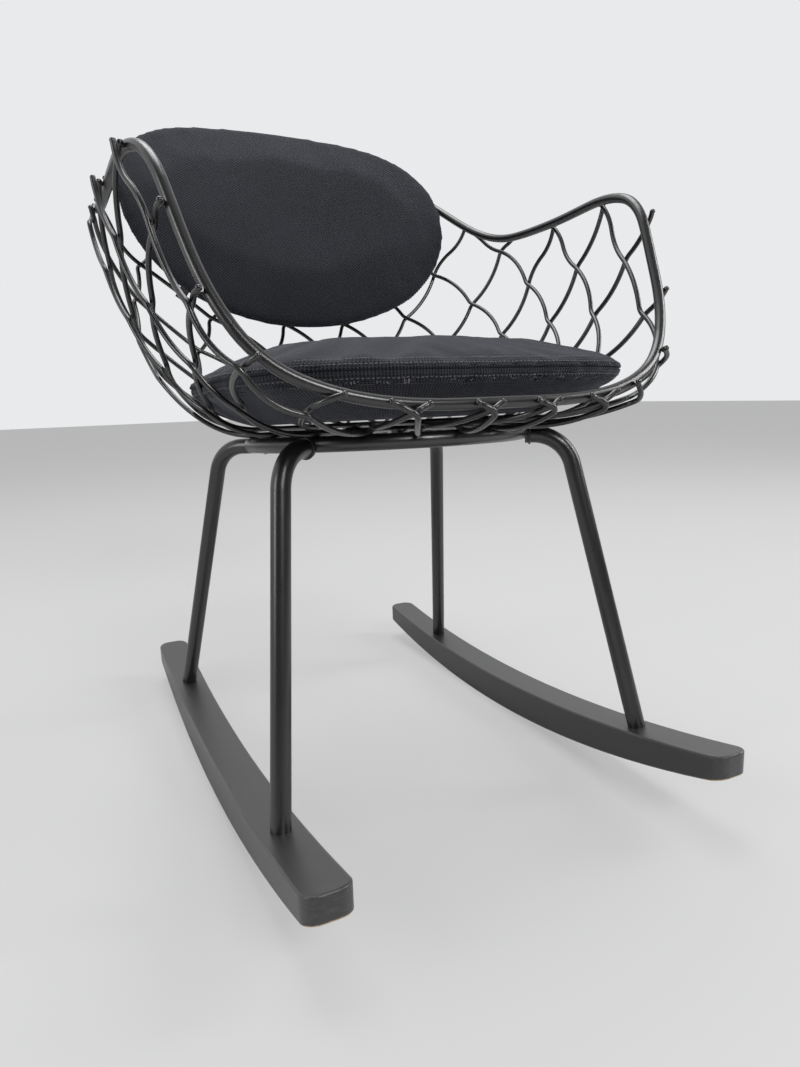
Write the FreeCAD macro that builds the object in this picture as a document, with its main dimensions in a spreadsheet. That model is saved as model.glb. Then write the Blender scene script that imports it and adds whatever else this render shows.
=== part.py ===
import FreeCAD, Part
import math
import os
import Sketcher
from FreeCAD import Placement, Rotation, Vector

# Rocking chair: a round wire basket with two cushions, on four bent tube legs and two wooden rockers.
# Millimetres, +Z up, the front faces -Y. The origin lies on the floor, midway between the rockers.
# Azimuths are counted round the leg ring: 0 is the front, 90 the sitter's left, 180 the back.

os.makedirs("parts", exist_ok=True)
doc = FreeCAD.newDocument("wire_basket_rocker")

SIZES = [
    ("clearance", 0.3),
    # wooden rockers
    ("rocker_spacing", 392.0), ("rocker_width", 40.0), ("rocker_height", 37.5),
    ("rocker_floor_radius", 1340.0), ("rocker_floor_y", 40.0),
    ("rocker_top_radius", 1943.0), ("rocker_top_y", 71.0),
    ("rocker_front_y", -374.0), ("rocker_rear_y", 330.0), ("rocker_tip_radius", 14.0),
    ("rocker_edge_round", 2.0), ("rocker_socket_depth", 18.0),
    # legs
    ("leg_drop", 3.0), ("leg_diameter", 18.0), ("leg_wall", 2.0), ("leg_bend_radius", 42.0),
    ("front_foot_y", -250.0), ("rear_foot_y", 188.0),
    ("front_shoulder_x", 154.0), ("front_shoulder_y", -177.0),
    ("rear_shoulder_x", 148.0), ("rear_shoulder_y", 93.0),
    ("weld_bead_size", 3.0),
    # leg fixings
    ("plug_length", 26.0), ("bolt_shank", 6.0), ("bolt_head_diameter", 12.0), ("bolt_head_height", 5.0),
    ("bolt_grip_in_plug", 20.0), ("bolt_recess", 2.0),
    # ring on top of the legs and hub ring under the seat
    ("ring_radius", 146.0), ("ring_bar", 15.0), ("ring_y", -64.0), ("ring_z", 373.0), ("ring_tilt", 2.3),
    ("hub_radius", 42.0), ("hub_bar", 8.0),
    # rim
    ("rim_bar", 10.0),
    # basket wires
    ("wire_bar", 5.0), ("wire_count", 19.0), ("wire_first_rise", 24.0), ("wire_rise_growth", 1.42),
    ("wire_rise_side", 1.04), ("wire_rise_front", 0.59), ("wire_rise_back", 0.8),
    ("wire_hub_pitch", 69.3), ("wire_lead", 0.6), ("wire_bulge", 0.08), ("wire_phase", 13.3),
    ("wire_crowding", 5.1), ("wire_shift", 8.6), ("wire_kink", 6.0), ("wire_overrun", 2.0),
    ("wire_settle", 20.0), ("wire_end_meeting", 0.25),
    ("bowl_fullness_side", 1.95), ("bowl_fullness_front", 2.8), ("back_lean", 0.7),
    # seat cushion
    ("seat_radius", 208.0), ("seat_y", -70.0), ("seat_thickness", 76.0), ("seat_seam_height", 50.0),
    ("seat_foot_radius", 148.0), ("seat_flank_radius", 182.5), ("seat_flank_height", 24.0),
    ("seat_shoulder_radius", 188.0), ("seat_shoulder_height", 67.0), ("seat_seam_depth", 2.0),
    ("seat_skin", 2.0),
    # back cushion
    ("back_half_width", 222.0), ("back_half_height", 158.0), ("back_thickness", 44.0),
    ("back_end_radius", 145.0), ("back_bow_radius", 545.0), ("back_crown_radius", 680.0),
    ("back_edge_round", 15.0), ("back_skin", 2.0), ("back_recline", 28.8),
    ("back_y", 250.0), ("back_z", 656.0),
    # ties of the back cushion
    ("tie_width", 12.0), ("tie_thickness", 1.5), ("tie_slack", 2.0), ("tie_side_azimuth", 22.0),
    ("tie_low_row", 4.5), ("tie_high_row", 6.5),
]

sheet = doc.addObject("Spreadsheet::Sheet", "sizes")
for row, (alias, value) in enumerate(SIZES, start=1):
    sheet.set("A%d" % row, alias)
    sheet.set("B%d" % row, str(value))
    sheet.setAlias("B%d" % row, alias)
doc.recompute()


def size(alias):
    return float(sheet.get(alias))


def bind(target, prop, expression):
    """Ties a property to the sheet through an expression such as sizes.ring_bar."""
    target.setExpression(prop, expression)


def origin_plane(body, role):
    for feature in body.Origin.OriginFeatures:
        if feature.Role == role:
            return feature
    raise ValueError("no plane " + role)


def new_sketch(body, name, role):
    sketch = body.newObject("Sketcher::SketchObject", name)
    sketch.AttachmentSupport = [(origin_plane(body, role), "")]
    sketch.MapMode = "FlatFace"
    return sketch


def shape_object(label, shape):
    feature = doc.addObject("Part::Feature", label)
    feature.Shape = shape
    feature.Label = label
    return feature


# Shared frame of the ring plane, which leans back with the seat
ring_frame = Placement(
    Vector(0, size("ring_y"), size("ring_z")), Rotation(Vector(1, 0, 0), -size("ring_tilt")))


def circle_arc(first, middle, last):
    return Part.Arc(first, middle, last)


def biarc(start, start_way, end, end_way):
    """Two tangent arcs from one point and direction to another."""
    chord = end - start
    ways = start_way + end_way
    turn = 2 * (1 - start_way.dot(end_way))
    along = chord.dot(ways)
    if turn < 1e-9:
        reach = chord.dot(chord) / (2 * along)
    else:
        reach = (math.sqrt(along * along + turn * chord.dot(chord)) - along) / turn
    first_corner = start + start_way * reach
    second_corner = end - end_way * reach
    joint = (first_corner + second_corner) * 0.5
    return [corner_arc(start, first_corner, joint), corner_arc(joint, second_corner, end)]


def corner_arc(first, corner, last):
    """The arc that is tangent at both ends to the lines through its corner; a line where it is straight."""
    half = (last - first).Length / 2
    side = (corner - first).Length
    weight = half / side
    if weight > 0.99999:
        return Part.LineSegment(first, last)
    middle = (first + last + corner * (2 * weight)) * (1 / (2 + 2 * weight))
    return circle_arc(first, middle, last)


def round_bar(curves, diameter):
    """A bar of round section along a chain of tangent arcs."""
    path = Part.Wire([curve.toShape() for curve in curves])
    first = curves[0]
    start = first.value(first.FirstParameter)
    way = first.tangent(first.FirstParameter)[0]
    section = Part.Face(Part.Wire(Part.makeCircle(diameter / 2, start, way)))
    return path.makePipe(section)


def curve_ends(curve):
    low, high = curve.FirstParameter, curve.LastParameter
    return curve.value(low), curve.tangent(low)[0], curve.value(high), curve.tangent(high)[0]


# Rim: one closed bar, the same on both sides, through points on its left half

RIM_HALF = [
    (0, -293, 411), (75, -291, 412), (138, -282, 422), (186, -266, 446), (218, -240, 496),
    (233, -208, 557), (243, -176, 605), (252, -126, 624), (257, -50, 623), (259, 30, 621),
    (257, 104, 627), (249, 153, 645), (238, 197, 671), (225, 247, 702), (174, 310, 744),
    (92, 343, 768), (0, 352, 775),
]
rim_points = [Vector(*point) for point in RIM_HALF]
rim_points += [Vector(-x, y, z) for x, y, z in RIM_HALF[-2:0:-1]]
rim_curve = Part.BSplineCurve()
rim_curve.interpolate(Points=rim_points, PeriodicFlag=True)


def rim_chain():
    """The rim's centre line as tangent arcs, two from each point to the next."""
    stations = []
    for point in rim_points:
        at = rim_curve.parameter(point)
        stations.append((point, rim_curve.tangent(at)[0]))
    chain = []
    for (start, start_way), (end, end_way) in zip(stations, stations[1:] + stations[:1]):
        chain += biarc(start, start_way, end, end_way)
    return chain


def azimuth_of(point):
    return math.degrees(math.atan2(point.x, size("ring_y") - point.y))


RIM_SAMPLES = 720
rim_table = []
for sample in range(RIM_SAMPLES):
    span = rim_curve.LastParameter - rim_curve.FirstParameter
    spot = rim_curve.value(rim_curve.FirstParameter + span * sample / RIM_SAMPLES)
    rim_table.append((azimuth_of(spot), math.hypot(spot.x, spot.y - size("ring_y")), spot.z))
rim_table.sort()


def rim_at(azimuth):
    """Radius and height of the rim's centre line at an azimuth."""
    azimuth = (azimuth + 180) % 360 - 180
    before = rim_table[-1]
    before = (before[0] - 360, before[1], before[2])
    for entry in rim_table + [(rim_table[0][0] + 360, rim_table[0][1], rim_table[0][2])]:
        if entry[0] >= azimuth:
            share = (azimuth - before[0]) / (entry[0] - before[0])
            return (before[1] + share * (entry[1] - before[1]), before[2] + share * (entry[2] - before[2]))
        before = entry
    return before[1], before[2]


# Basket surface: the middle between the inner and the outer wires

layer_gap = size("wire_bar") / 2 + 1.5 * size("clearance")
rim_lap = size("rim_bar") / 2 + size("wire_bar") / 2 + 2.4 * size("clearance")
ring_lift = size("ring_bar") / 2 + layer_gap + size("wire_bar") / 2 + size("clearance") / 2
PROFILE_STEPS = 90


def ring_level(azimuth, radius):
    """Height of the wire layers' middle over the tilted ring plane."""
    lean = math.tan(math.radians(size("ring_tilt")))
    return size("ring_z") + ring_lift + radius * math.cos(math.radians(azimuth)) * lean


profile_cache = {}


def profile(azimuth):
    """Points (length, radius, height) up the basket wall, from the ring to the rim's outer side."""
    key = round(azimuth % 360, 3)
    if key in profile_cache:
        return profile_cache[key]
    rim_radius, rim_height = rim_at(azimuth)
    base = ring_level(azimuth, size("ring_radius"))
    rise = rim_height - base
    front = max(0.0, math.cos(math.radians(azimuth))) ** 3
    back = max(0.0, -math.cos(math.radians(azimuth))) ** 3
    power = size("bowl_fullness_side") + front * (size("bowl_fullness_front") - size("bowl_fullness_side"))
    lean = back * size("back_lean")
    reach = rim_radius + rim_lap * (1 + 0.3 * back) - size("ring_radius")
    points = []
    length = 0.0
    for step in range(PROFILE_STEPS + 1):
        angle = math.pi / 2 * step / PROFILE_STEPS
        out = math.sin(angle) ** (2 / power)
        up = 1 - math.cos(angle) ** (2 / power) if step < PROFILE_STEPS else 1.0
        out = (1 - lean) * out + lean * up
        radius = size("ring_radius") + reach * out
        height = base + rise * up
        if points:
            length += math.hypot(radius - points[-1][1], height - points[-1][2])
        points.append((length, radius, height))
    profile_cache[key] = points
    return points


def row_rise(azimuth, row):
    """Height of a row of crossings above the ring; rows lie lower at the front and the back."""
    slant = math.cos(math.radians(azimuth))
    low = size("wire_rise_front") if slant > 0 else size("wire_rise_back")
    factor = size("wire_rise_side") - (size("wire_rise_side") - low) * slant * slant
    return factor * size("wire_first_rise") * row ** size("wire_rise_growth")


row_cache = {}


def row_length(azimuth, row):
    """Length up the wall to a row of crossings; rows past the rim are spaced by half their rise."""
    key = (round(azimuth % 360, 3), row)
    if key not in row_cache:
        points = profile(azimuth)
        height = points[0][2] + row_rise(azimuth, row)
        index = 1
        while index < PROFILE_STEPS and points[index][2] < height:
            index += 1
        low, high = points[index - 1], points[index]
        if height > high[2]:
            row_cache[key] = high[0] + 0.5 * (height - high[2])
        else:
            share = (height - low[2]) / (high[2] - low[2])
            row_cache[key] = low[0] + share * (high[0] - low[0])
    return row_cache[key]


def climbed(azimuth, row):
    """Length up the wall at any row, even between the crossings."""
    below = math.floor(row)
    start = row_length(azimuth, below)
    return start + (row - below) * (row_length(azimuth, below + 1) - start)


def wall_length(azimuth):
    return profile(azimuth)[-1][0]


def wall_point(azimuth, row, offset):
    """A point at a row above the ring, moved outward by an offset; rows below zero run in to the hub."""
    if row <= 0:
        radius = size("ring_radius") + row * size("wire_hub_pitch")
        height = ring_level(azimuth, radius)
        out, up = 0.0, -1.0
    else:
        points = profile(azimuth)
        distance = climbed(azimuth, row)
        index = 1
        while index < PROFILE_STEPS and points[index][0] < distance:
            index += 1
        low, high = points[index - 1], points[index]
        span = high[0] - low[0]
        share = (distance - low[0]) / span
        radius = low[1] + share * (high[1] - low[1])
        height = low[2] + share * (high[2] - low[2])
        out = (high[2] - low[2]) / span
        up = -(high[1] - low[1]) / span
    radius += offset * out
    height += offset * up
    angle = math.radians(azimuth)
    return Vector(radius * math.sin(angle), size("ring_y") - radius * math.cos(angle), height)


def crowded(even_azimuth):
    """Wires stand closer at the front and the back than at the sides, and a little off centre."""
    crowding = size("wire_crowding") * math.sin(math.radians(2 * even_azimuth))
    return even_azimuth - crowding - size("wire_shift") * math.sin(math.radians(even_azimuth - 44))


def wire_azimuth(number, row, outer):
    """Azimuth of a wire: inner wires climb to the left, outer ones to the right, all bowed one way."""
    pitch = 360.0 / size("wire_count")
    step = -pitch * (1 - size("wire_lead")) if outer else pitch * size("wire_lead")
    share = row - math.floor(row)
    bow = size("wire_bulge") * pitch * 4 * share * (1 - share)
    return crowded(size("wire_phase") + pitch * number + step * row - bow)


def end_row(number, outer):
    """The row at which a wire first meets the rim."""
    row, step = 0.6, 0.02
    azimuth = wire_azimuth(number, row, outer)
    while climbed(azimuth, row) < wall_length(azimuth):
        row += step
        azimuth = wire_azimuth(number, row, outer)
    return row - step / 2


def node_offset(azimuth, row, outer):
    """Wires cross one over the other, hold the hub ring between them and move outward at the rim."""
    if row < -1.2:
        below = size("hub_bar") + size("wire_bar") + size("clearance")
        return below - layer_gap if outer else -layer_gap
    depth = wall_length(azimuth) - row_length(azimuth, row) if row > 0 else wall_length(azimuth)
    settled = min(1.0, max(0.0, depth / size("wire_settle")))
    spread = 5 * size("clearance") * (1 - settled)
    inside = spread - layer_gap * settled
    return inside + 2 * layer_gap + spread if outer else inside


def kinked(bows, final_trim):
    """Bows joined by a short bend at each crossing, the last one cut back by final_trim."""
    chain = []
    for index, bow in enumerate(bows):
        low, high = bow.FirstParameter, bow.LastParameter
        per_mm = (high - low) / bow.length()
        start = low + (size("wire_kink") * per_mm if index > 0 else 0.0)
        stop = high - (final_trim if bow is bows[-1] else size("wire_kink")) * per_mm
        if stop - start < per_mm:
            return None
        piece = circle_arc(bow.value(start), bow.value((start + stop) / 2), bow.value(stop))
        if chain:
            _, _, end, end_way = curve_ends(chain[-1])
            begin, begin_way, _, _ = curve_ends(piece)
            chain += biarc(end, end_way, begin, begin_way)
        chain.append(piece)
    return chain


def tightest(curves):
    """The sharpest curvature among a few arcs, in 1/mm."""
    return max(curve.curvature(curve.FirstParameter) for curve in curves)


def wire_chain(number, outer):
    """Centre line of one wire from the hub ring to the rim: a bow between crossings, a kink at each."""
    hub_row = -(size("ring_radius") - size("hub_radius")) / size("wire_hub_pitch")
    last = end_row(number, outer)
    rows = [hub_row] + [float(row) for row in range(-1, int(math.floor(last)) + 1)]
    if last - rows[-1] < 0.2:
        rows.pop()
    rows.append(last)
    nodes = []
    for row in rows:
        azimuth = wire_azimuth(number, row, outer)
        offset = node_offset(azimuth, row, outer)
        if row == last:
            crossing_near = abs(last - round(last)) < size("wire_end_meeting")
            offset = 2 * layer_gap if outer and crossing_near else 0.0
        nodes.append((azimuth, row, offset))
    bows = []
    for (low_az, low_row, low_off), (high_az, high_row, high_off) in zip(nodes, nodes[1:]):
        middle_row = (low_row + high_row) / 2
        share_low = math.floor(low_row + 1e-6)
        middle_az = wire_azimuth(number, middle_row, outer)
        if high_row - share_low > 1.01:
            middle_az = (low_az + high_az) / 2
        bows.append(circle_arc(
            wall_point(low_az, low_row, low_off),
            wall_point(middle_az, middle_row, (low_off + high_off) / 2),
            wall_point(high_az, high_row, high_off)))
    just_below = wall_point(wire_azimuth(number, last - 0.1, outer), last - 0.1, 0.0)
    above = wall_point(nodes[-1][0], last, 0.0)
    rim_way = (above - just_below).normalize()
    at = rim_curve.parameter(above)
    on_rim = rim_curve.value(at)
    outward = rim_way.cross(rim_curve.tangent(at)[0]).normalize()
    if outward.dot(above - on_rim) < 0:
        outward = outward * -1
    beside = on_rim + outward * (rim_lap + nodes[-1][2])
    kink = size("wire_kink")
    shapes = [kinked(bows, kink * share) for share in (1.0, 1.5, 2.0, 2.5, 3.0)]
    shapes.append(kinked(bows[:-1], 0.0))
    endings = []
    for shape in shapes:
        if shape:
            _, _, end, end_way = curve_ends(shape[-1])
            endings.append((shape, biarc(end, end_way, beside, rim_way)))
    chain, ending = min(endings, key=lambda pair: tightest(pair[1]))
    chain += ending
    chain.append(Part.LineSegment(beside, beside + rim_way * size("wire_overrun")))
    begin, begin_way, _, _ = curve_ends(chain[0])
    chain.insert(0, Part.LineSegment(begin - begin_way * size("wire_overrun"), begin))
    return chain


nodes = []


def register(feature, label):
    feature.Label = label
    nodes.append(feature)
    return feature


# Rim: the right half is swept and mirrored
rim_half_chain = rim_chain()[:2 * (len(RIM_HALF) - 1)]
rim_right = shape_object("rim_right_half", round_bar(rim_half_chain, size("rim_bar")))
rim_left = doc.addObject("Part::Mirroring", "rim_left_half")
rim_left.Source = rim_right
rim_left.Normal = Vector(1, 0, 0)
rim = doc.addObject("Part::Fuse", "rim_loop")
rim.Base = rim_right
rim.Tool = rim_left
register(rim, "rim")

# Ring on top of the legs, and the hub ring the wires end on
leg_ring = doc.addObject("Part::Torus", "leg_ring_torus")
leg_ring.Placement = ring_frame
bind(leg_ring, "Radius1", "sizes.ring_radius")
bind(leg_ring, "Radius2", "sizes.ring_bar / 2")
register(leg_ring, "leg_ring")

hub_ring = doc.addObject("Part::Torus", "hub_ring_torus")
hub_drop = size("wire_bar") / 2 + size("clearance") / 2 + size("hub_bar") / 2 - layer_gap
hub_ring.Placement = ring_frame.multiply(Placement(Vector(0, 0, ring_lift - hub_drop), Rotation()))
bind(hub_ring, "Radius1", "sizes.hub_radius")
bind(hub_ring, "Radius2", "sizes.hub_bar / 2")
register(hub_ring, "hub_ring")

# Basket wires
for outer, layer in ((False, "inner"), (True, "outer")):
    for number in range(int(size("wire_count"))):
        label = "%s_wire_%02d" % (layer, number + 1)
        register(shape_object(label, round_bar(wire_chain(number, outer), size("wire_bar"))), label)


# Legs

def top_of_rocker(y):
    radius = size("rocker_top_radius")
    return size("rocker_height") + radius - math.sqrt(radius ** 2 - (y - size("rocker_top_y")) ** 2)


def bottom_of_rocker(y):
    radius = size("rocker_floor_radius")
    return radius - math.sqrt(radius ** 2 - (y - size("rocker_floor_y")) ** 2)


class LegLine:
    """Where a leg stands, leans and turns in to the ring."""

    def __init__(self, side, front):
        end = "front" if front else "rear"
        foot_y = size(end + "_foot_y")
        self.label = "leg_%s_%s" % (end, "right" if side < 0 else "left")
        self.top = Vector(side * size("rocker_spacing") / 2, foot_y, top_of_rocker(foot_y))
        x, y = side * size(end + "_shoulder_x"), size(end + "_shoulder_y")
        lean = math.tan(math.radians(size("ring_tilt")))
        self.shoulder = Vector(x, y, size("ring_z") - size("leg_drop") + (size("ring_y") - y) * lean)
        centre = Vector(0, size("ring_y"), size("ring_z") - size("leg_drop"))
        self.inward = (centre - self.shoulder).normalize()
        self.reach = (centre - self.shoulder).Length - size("ring_radius")
        self.up = (self.shoulder - self.top).normalize()
        self.foot = self.top - self.up * size("rocker_socket_depth")
        across = (self.inward - self.up * self.inward.dot(self.up)).normalize()
        self.frame = Placement(self.foot, Rotation(across, self.up.cross(across), self.up, "ZXY"))
        self.turn = math.acos(self.up.dot(self.inward))
        self.height = (self.shoulder - self.foot).Length


leg_lines = [LegLine(side, front) for front in (True, False) for side in (1, -1)]


def leg_body(line):
    """A tube swept up the leg's straight run, round its bend and in to the ring."""
    body = doc.addObject("PartDesign::Body", line.label + "_tube")
    path = new_sketch(body, line.label + "_path", "XZ_Plane")
    bend = size("leg_bend_radius")
    tangent = bend * math.tan(line.turn / 2)
    into = Vector(math.sin(line.turn), math.cos(line.turn), 0)
    corner = Vector(0, line.height, 0)
    start, stop = corner - Vector(0, tangent, 0), corner + into * tangent
    centre = start + Vector(bend, 0, 0)
    path.addGeometry(Part.LineSegment(Vector(), start))
    circle = Part.Circle(centre, Vector(0, 0, 1), bend)
    low = math.atan2(stop.y - centre.y, stop.x - centre.x)
    path.addGeometry(Part.ArcOfCircle(circle, low, math.pi))
    path.addGeometry(Part.LineSegment(stop, corner + into * (line.reach - size("ring_bar") / 4)))
    path.addConstraint(Sketcher.Constraint("Coincident", 0, 1, -1, 1))
    path.addConstraint(Sketcher.Constraint("Vertical", 0))
    path.addConstraint(Sketcher.Constraint("Tangent", 0, 2, 1, 2))
    path.addConstraint(Sketcher.Constraint("Tangent", 1, 1, 2, 1))
    path.addConstraint(Sketcher.Constraint("Radius", 1, bend))
    path.setExpression("Constraints[4]", "sizes.leg_bend_radius")
    path.addConstraint(Sketcher.Constraint("DistanceY", 0, 1, 0, 2, start.y))
    path.addConstraint(Sketcher.Constraint("DistanceX", -1, 1, 2, 2, (corner + into * (
        line.reach - size("ring_bar") / 4)).x))
    path.addConstraint(Sketcher.Constraint("DistanceY", -1, 1, 2, 2, (corner + into * (
        line.reach - size("ring_bar") / 4)).y))
    section = new_sketch(body, line.label + "_section", "XY_Plane")
    outer = Part.Circle(Vector(), Vector(0, 0, 1), size("leg_diameter") / 2)
    inner = Part.Circle(Vector(), Vector(0, 0, 1), size("leg_diameter") / 2 - size("leg_wall"))
    for index, (circle, expression) in enumerate((
            (outer, "sizes.leg_diameter / 2"), (inner, "sizes.leg_diameter / 2 - sizes.leg_wall"))):
        section.addGeometry(circle)
        section.addConstraint(Sketcher.Constraint("Coincident", index, 3, -1, 1))
        section.addConstraint(Sketcher.Constraint("Radius", index, circle.Radius))
        section.setExpression("Constraints[%d]" % (2 * index + 1), expression)
    pipe = body.newObject("PartDesign::AdditivePipe", line.label + "_pipe")
    pipe.Profile = section
    pipe.Spine = (path, ["Edge1", "Edge2", "Edge3"])
    body.Tip = pipe
    body.Placement = line.frame
    return body


def torus_tool(name, placement, radius, bar):
    torus = doc.addObject("Part::Torus", name)
    torus.Placement = placement
    bind(torus, "Radius1", radius)
    bind(torus, "Radius2", bar)
    return torus


def cylinder_tool(name, placement, radius, height):
    cylinder = doc.addObject("Part::Cylinder", name)
    cylinder.Placement = placement
    bind(cylinder, "Radius", radius)
    bind(cylinder, "Height", height)
    return cylinder


def cut(name, base, tool):
    result = doc.addObject("Part::Cut", name)
    result.Base = base
    result.Tool = tool
    return result


def joined(name, features):
    result = doc.addObject("Part::MultiFuse", name)
    result.Shapes = features
    return result


def collected(name, features):
    result = doc.addObject("Part::Compound", name)
    result.Links = features
    return result


for line in leg_lines:
    cope = torus_tool(
        line.label + "_cope", ring_frame, "sizes.ring_radius", "sizes.ring_bar / 2 + sizes.clearance / 3")
    register(cut(line.label + "_coped", leg_body(line), cope), line.label)

# Weld beads where the legs meet the ring
beads = []
for line in leg_lines:
    spot = line.shoulder + line.inward * (line.reach - size("ring_bar") / 2 - size("weld_bead_size") / 4)
    facing = Placement(spot, Rotation(Vector(0, 0, 1), line.inward))
    bead = torus_tool(line.label + "_bead", facing, "sizes.leg_diameter / 2", "sizes.weld_bead_size / 2")
    back = Placement(line.inward * -size("leg_diameter"), Rotation()).multiply(facing)
    core = cylinder_tool(
        line.label + "_bead_core", back, "sizes.leg_diameter / 2", "sizes.leg_diameter * 2")
    ring_tool = torus_tool(line.label + "_bead_ring", ring_frame, "sizes.ring_radius", "sizes.ring_bar / 2")
    beads.append(cut(line.label + "_bead_cut", bead, joined(line.label + "_bead_tools", [core, ring_tool])))
register(collected("all_weld_beads", beads), "leg_weld_beads")

# Threaded plugs in the feet of the legs, held down by bolts from under the rockers
plugs = []
bolts = []
recesses = []
for line in leg_lines:
    plug_radius = "sizes.leg_diameter / 2 - sizes.leg_wall"
    plug = cylinder_tool(line.label + "_plug_blank", line.frame, plug_radius, "sizes.plug_length")
    bore = cylinder_tool(line.label + "_plug_bore", line.frame, "sizes.bolt_shank / 2", "sizes.plug_length")
    plugs.append(cut(line.label + "_plug", plug, bore))
    wood = (line.foot.z - bottom_of_rocker(line.foot.y)) / line.up.z
    seat = wood - size("bolt_head_height") - size("bolt_recess")
    below = Placement(line.foot - line.up * seat, line.frame.Rotation)
    shank = doc.addObject("Part::Cylinder", line.label + "_bolt_shank")
    shank.Placement = below
    bind(shank, "Radius", "sizes.bolt_shank / 2")
    shank.Height = seat + size("bolt_grip_in_plug")
    under = Placement(line.up * -size("bolt_head_height"), Rotation()).multiply(below)
    head = cylinder_tool(
        line.label + "_bolt_head", under, "sizes.bolt_head_diameter / 2", "sizes.bolt_head_height")
    key = doc.addObject("Part::Prism", line.label + "_bolt_key")
    key.Polygon = 6
    key.Placement = under
    bind(key, "Circumradius", "sizes.bolt_shank / 2")
    bind(key, "Height", "sizes.bolt_head_height / 2")
    bolts.append(cut(line.label + "_bolt", joined(line.label + "_bolt_blank", [shank, head]), key))
    floor = Placement(line.up * -size("rocker_height"), Rotation()).multiply(below)
    recesses.append((line, [
        cylinder_tool(line.label + "_head_recess", floor,
                      "sizes.bolt_head_diameter / 2 + sizes.clearance", "sizes.rocker_height"),
        cylinder_tool(line.label + "_shank_hole", floor,
                      "sizes.bolt_shank / 2 + sizes.clearance / 3", "sizes.rocker_height * 2"),
        cylinder_tool(line.label + "_socket", line.frame,
                      "sizes.leg_diameter / 2 + sizes.clearance / 3", "sizes.rocker_height * 2"),
    ]))
register(collected("all_leg_plugs", plugs), "leg_plugs")
register(collected("all_rocker_bolts", bolts), "rocker_bolts")


# Rockers

def rocker_body(name, side):
    body = doc.addObject("PartDesign::Body", name + "_board")
    outline = new_sketch(body, name + "_outline", "YZ_Plane")
    front, rear = size("rocker_front_y"), size("rocker_rear_y")
    low_circle = Part.Circle(
        Vector(size("rocker_floor_y"), size("rocker_floor_radius"), 0), Vector(0, 0, 1),
        size("rocker_floor_radius"))
    high_circle = Part.Circle(
        Vector(size("rocker_top_y"), size("rocker_height") + size("rocker_top_radius"), 0),
        Vector(0, 0, 1), size("rocker_top_radius"))
    corners = [
        Vector(front, bottom_of_rocker(front), 0), Vector(rear, bottom_of_rocker(rear), 0),
        Vector(rear, top_of_rocker(rear), 0), Vector(front, top_of_rocker(front), 0)]
    angles = [math.atan2(p.y - circle.Center.y, p.x - circle.Center.x) for p, circle in zip(
        corners, (low_circle, low_circle, high_circle, high_circle))]
    outline.addGeometry(Part.ArcOfCircle(low_circle, angles[0], angles[1]))
    outline.addGeometry(Part.LineSegment(corners[1], corners[2]))
    outline.addGeometry(Part.ArcOfCircle(high_circle, angles[3], angles[2]))
    outline.addGeometry(Part.LineSegment(corners[3], corners[0]))
    rules = [
        ("Coincident", (0, 2, 1, 1), None), ("Coincident", (1, 2, 2, 2), None),
        ("Coincident", (2, 1, 3, 1), None), ("Coincident", (3, 2, 0, 1), None),
        ("Vertical", (1,), None), ("Vertical", (3,), None),
        ("Radius", (0, size("rocker_floor_radius")), "sizes.rocker_floor_radius"),
        ("Radius", (2, size("rocker_top_radius")), "sizes.rocker_top_radius"),
        ("DistanceX", (-1, 1, 0, 3, size("rocker_floor_y")), "sizes.rocker_floor_y"),
        ("DistanceY", (-1, 1, 0, 3, size("rocker_floor_radius")), "sizes.rocker_floor_radius"),
        ("DistanceX", (-1, 1, 2, 3, size("rocker_top_y")), "sizes.rocker_top_y"),
        ("DistanceY", (-1, 1, 2, 3, size("rocker_top_radius") + size("rocker_height")),
         "sizes.rocker_top_radius + sizes.rocker_height"),
        ("DistanceX", (0, 1, -1, 1, -front), "-sizes.rocker_front_y"),
        ("DistanceX", (-1, 1, 0, 2, rear), "sizes.rocker_rear_y"),
    ]
    for index, (kind, places, expression) in enumerate(rules):
        outline.addConstraint(Sketcher.Constraint(kind, *places))
        if expression:
            outline.setExpression("Constraints[%d]" % index, expression)
    pad = body.newObject("PartDesign::Pad", name + "_pad")
    pad.Profile = outline
    pad.SideType = "Symmetric"
    bind(pad, "Length", "sizes.rocker_width")
    doc.recompute()
    upright = [
        "Edge%d" % number for number, edge in enumerate(pad.Shape.Edges, start=1)
        if abs(edge.Vertexes[0].Point.y - edge.Vertexes[-1].Point.y) < 0.01
        and abs(edge.Vertexes[0].Point.x - edge.Vertexes[-1].Point.x) < 0.01]
    tips = body.newObject("PartDesign::Fillet", name + "_tips")
    tips.Base = (pad, upright)
    bind(tips, "Radius", "sizes.rocker_tip_radius")
    doc.recompute()
    top_and_bottom = [
        "Face%d" % number for number, face in enumerate(tips.Shape.Faces, start=1)
        if abs(face.normalAt(*face.Surface.parameter(face.CenterOfMass)).z) > 0.8]
    eased = body.newObject("PartDesign::Fillet", name + "_eased")
    eased.Base = (tips, top_and_bottom)
    bind(eased, "Radius", "sizes.rocker_edge_round")
    body.Tip = eased
    body.Placement = Placement(Vector(side * size("rocker_spacing") / 2, 0, 0), Rotation())
    return body


for side, name in ((1, "rocker_left"), (-1, "rocker_right")):
    tools = [tool for line, group in recesses if line.top.x * side > 0 for tool in group]
    register(cut(name + "_drilled", rocker_body(name, side), joined(name + "_holes", tools)), name)


# Seat cushion: a turned shape lying in the basket, in the frame of the leg ring
seat_lift = ring_lift + layer_gap + size("wire_bar") / 2 + 2 * size("clearance")
lean_back = math.radians(size("ring_tilt"))
seat_frame = Placement(
    Vector(0, size("seat_y"), size("ring_z") + (size("ring_y") - size("seat_y")) * math.tan(lean_back)),
    ring_frame.Rotation).multiply(Placement(Vector(0, 0, seat_lift), Rotation()))


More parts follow.
